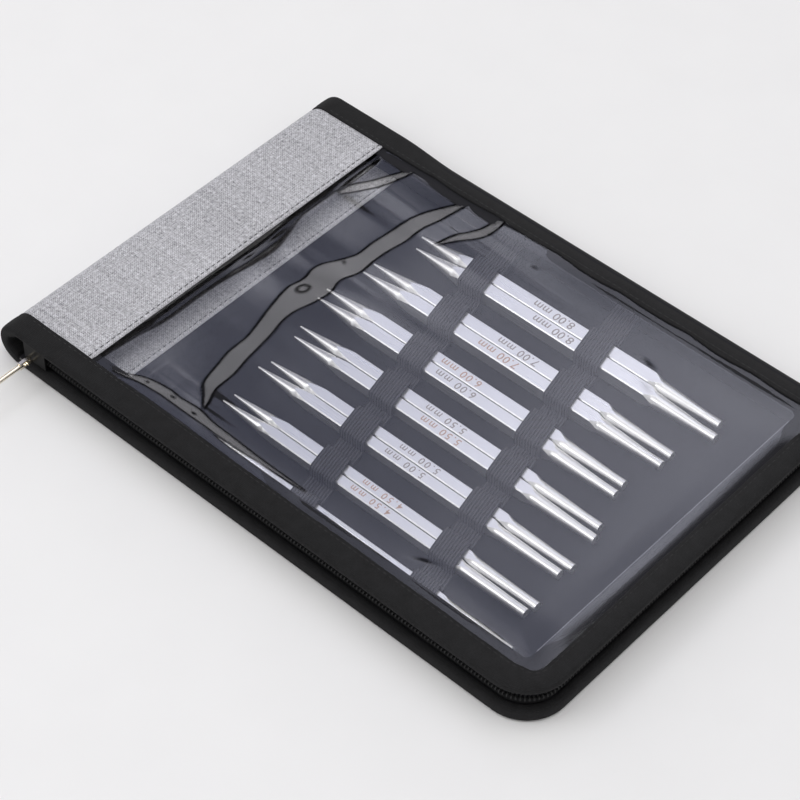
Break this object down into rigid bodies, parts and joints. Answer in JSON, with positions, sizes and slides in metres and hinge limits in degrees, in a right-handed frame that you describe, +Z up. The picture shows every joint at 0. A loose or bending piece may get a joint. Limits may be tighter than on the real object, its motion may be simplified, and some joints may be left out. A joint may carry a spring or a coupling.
{
  "type": "knitting needle case",
  "caption": "Zipped folio case with a clear window cover, a woven spine that opens flat, and slanted elastic bands holding pairs of square knitting needle tips.",
  "frame": {"origin": "middle of the back cover's underside, on the table", "axes": "+X from the spine to the free end, +Y from the near long side to the far one, +Z up"},
  "size_m": [0.228, 0.1859, 0.0157],
  "materials": {
    "black_cover": "matte woven canvas",
    "board": "plain sheet",
    "slate_lining": "matte fine weave",
    "grey_weave": "heather plain weave",
    "elastic": "ribbed elastic",
    "black_binding": "matte binding tape",
    "zip_tape": "woven tape",
    "zip_coil": "nylon coil",
    "zip_metal": "polished pale gold plate",
    "black_enamel": "satin black enamel",
    "clear_vinyl": "clear glossy sheet",
    "needle_metal": "satin anodised"
  },
  "bodies": {
    "back": {"back_cover": "black_cover", "back_board": "board", "lining_panel": "slate_lining", "inner_spine_strip": "grey_weave", "tip_elastic_band": "elastic", "tail_elastic_band": "elastic", "back_binding_face": "black_binding", "back_binding_edge": "black_binding", "back_binding_ledge": "black_binding", "back_zip_hem": "zip_tape", "back_zip_tape_near": "zip_tape", "back_zip_tape_far": "zip_tape", "back_zip_tape_end": "zip_tape", "back_zip_coil": "zip_coil", "zip_bottom_stop": "zip_metal", "back_zip_top_stop": "zip_metal"},
    "spine": {"spine_cover": "grey_weave", "spine_lining": "grey_weave", "near_spine_binding": "black_binding", "far_spine_binding": "black_binding"},
    "front": {"window_sheet": "clear_vinyl", "window_facing": "slate_lining", "front_spine_strip": "grey_weave", "front_strip_lining": "grey_weave", "front_binding_face": "black_binding", "front_binding_edge": "black_binding", "front_binding_ledge": "black_binding", "front_zip_hem": "zip_tape", "front_zip_tape_near": "zip_tape", "front_zip_tape_far": "zip_tape", "front_zip_tape_end": "zip_tape", "front_zip_coil": "zip_coil", "front_zip_top_stop": "zip_metal"},
    "slider": {"zip_slider": "black_enamel", "slider_bail": "zip_metal"},
    "pull": {"zip_pull": "zip_metal"},
    "needle_1_far": {"needle_1_far": "needle_metal"},
    "needle_1_near": {"needle_1_near": "needle_metal"},
    "needle_2_far": {"needle_2_far": "needle_metal"},
    "needle_2_near": {"needle_2_near": "needle_metal"},
    "needle_3_far": {"needle_3_far": "needle_metal"},
    "needle_3_near": {"needle_3_near": "needle_metal"},
    "needle_4_far": {"needle_4_far": "needle_metal"},
    "needle_4_near": {"needle_4_near": "needle_metal"},
    "needle_5_far": {"needle_5_far": "needle_metal"},
    "needle_5_near": {"needle_5_near": "needle_metal"},
    "needle_6_far": {"needle_6_far": "needle_metal"},
    "needle_6_near": {"needle_6_near": "needle_metal"},
    "needle_7_far": {"needle_7_far": "needle_metal"},
    "needle_7_near": {"needle_7_near": "needle_metal"}
  },
  "joints": [
    {"name": "spine_fold", "type": "hinge", "parent": "back", "child": "spine", "pos_m": [-0.11232, 0, 0.00168], "axis": [0, -1, 0], "range_deg": [0, 90]},
    {"name": "cover_fold", "type": "hinge", "parent": "spine", "child": "front", "pos_m": [-0.11232, 0, 0.01402], "axis": [0, -1, 0], "range_deg": [0, 90]},
    {"name": "slider_run", "type": "slide", "parent": "back", "child": "slider", "axis": [1, 0, 0], "range_m": [0, 0.19]},
    {"name": "pull_swing", "type": "hinge", "parent": "slider", "child": "pull", "pos_m": [-0.098, -0.0784, 0.0088], "axis": [0, 0, 1], "range_deg": [-75, 85]},
    {"name": "needle_1_far_slide", "type": "slide", "parent": "back", "child": "needle_1_far", "axis": [1, 0, 0], "range_m": [-0.0319, 0.0257]},
    {"name": "needle_1_near_slide", "type": "slide", "parent": "back", "child": "needle_1_near", "axis": [1, 0, 0], "range_m": [-0.0343, 0.0233]},
    {"name": "needle_2_far_slide", "type": "slide", "parent": "back", "child": "needle_2_far", "axis": [1, 0, 0], "range_m": [-0.0288, 0.0288]},
    {"name": "needle_2_near_slide", "type": "slide", "parent": "back", "child": "needle_2_near", "axis": [1, 0, 0], "range_m": [-0.0288, 0.0288]},
    {"name": "needle_3_far_slide", "type": "slide", "parent": "back", "child": "needle_3_far", "axis": [1, 0, 0], "range_m": [-0.0252, 0.0324]},
    {"name": "needle_3_near_slide", "type": "slide", "parent": "back", "child": "needle_3_near", "axis": [1, 0, 0], "range_m": [-0.0258, 0.0318]},
    {"name": "needle_4_far_slide", "type": "slide", "parent": "back", "child": "needle_4_far", "axis": [1, 0, 0], "range_m": [-0.0306, 0.027]},
    {"name": "needle_4_near_slide", "type": "slide", "parent": "back", "child": "needle_4_near", "axis": [1, 0, 0], "range_m": [-0.0324, 0.0252]},
    {"name": "needle_5_far_slide", "type": "slide", "parent": "back", "child": "needle_5_far", "axis": [1, 0, 0], "range_m": [-0.03465, 0.02295]},
    {"name": "needle_5_near_slide", "type": "slide", "parent": "back", "child": "needle_5_near", "axis": [1, 0, 0], "range_m": [-0.03315, 0.02445]},
    {"name": "needle_6_far_slide", "type": "slide", "parent": "back", "child": "needle_6_far", "axis": [1, 0, 0], "range_m": [-0.03605, 0.02155]},
    {"name": "needle_6_near_slide", "type": "slide", "parent": "back", "child": "needle_6_near", "axis": [1, 0, 0], "range_m": [-0.03515, 0.02245]},
    {"name": "needle_7_far_slide", "type": "slide", "parent": "back", "child": "needle_7_far", "axis": [1, 0, 0], "range_m": [-0.041, 0.0166]},
    {"name": "needle_7_near_slide", "type": "slide", "parent": "back", "child": "needle_7_near", "axis": [1, 0, 0], "range_m": [-0.04, 0.0176]}
  ],
  "couplings": [
    {"joint": "cover_fold", "follows": "spine_fold", "ratio": 1}
  ]
}
